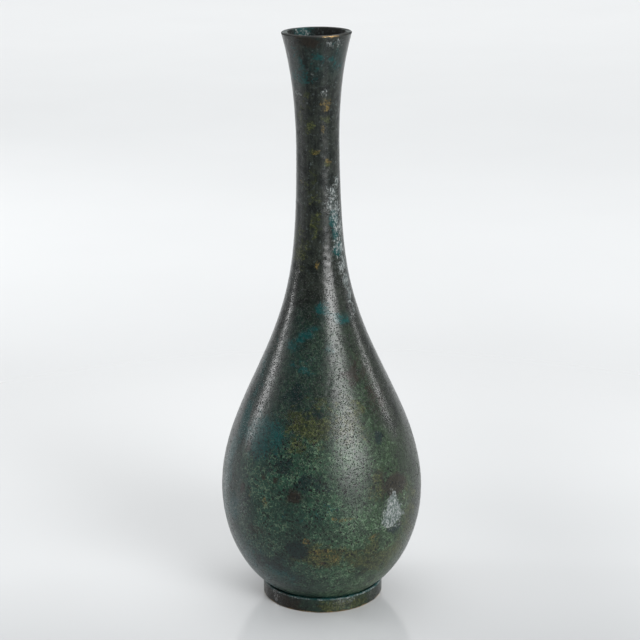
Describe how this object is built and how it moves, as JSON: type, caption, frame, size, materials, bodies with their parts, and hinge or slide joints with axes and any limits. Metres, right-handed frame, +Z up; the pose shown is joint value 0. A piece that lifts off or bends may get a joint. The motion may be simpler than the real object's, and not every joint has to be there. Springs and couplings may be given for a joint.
{
  "type": "bottle vase",
  "caption": "Pear-shaped cast bronze bottle vase with a long slender neck, a flared mouth and a low ring foot, with a mottled green patina; stands on a table and holds flower stems.",
  "frame": {"origin": "centre of the foot ring's resting face", "axes": "+Z up along the axis of turning, -Y is the side that the picture shows, +X is to its right"},
  "size_m": [0.0986, 0.0986, 0.28],
  "materials": {
    "belly_bronze": "mottled green patina",
    "neck_bronze": "dark grey-green patina",
    "foot_bronze": "dark green patina, worn at the edges",
    "base_bronze": "dull brown bronze",
    "plug_bronze": "dark patina",
    "solder": "dull grey solder"
  },
  "bodies": {
    "root": {"belly": "belly_bronze", "neck": "neck_bronze", "foot_ring": "foot_bronze", "base_plate": "base_bronze", "core_plugs": "plug_bronze", "neck_solder": "solder", "foot_solder": "solder", "base_solder": "solder"}
  },
  "joints": []
}
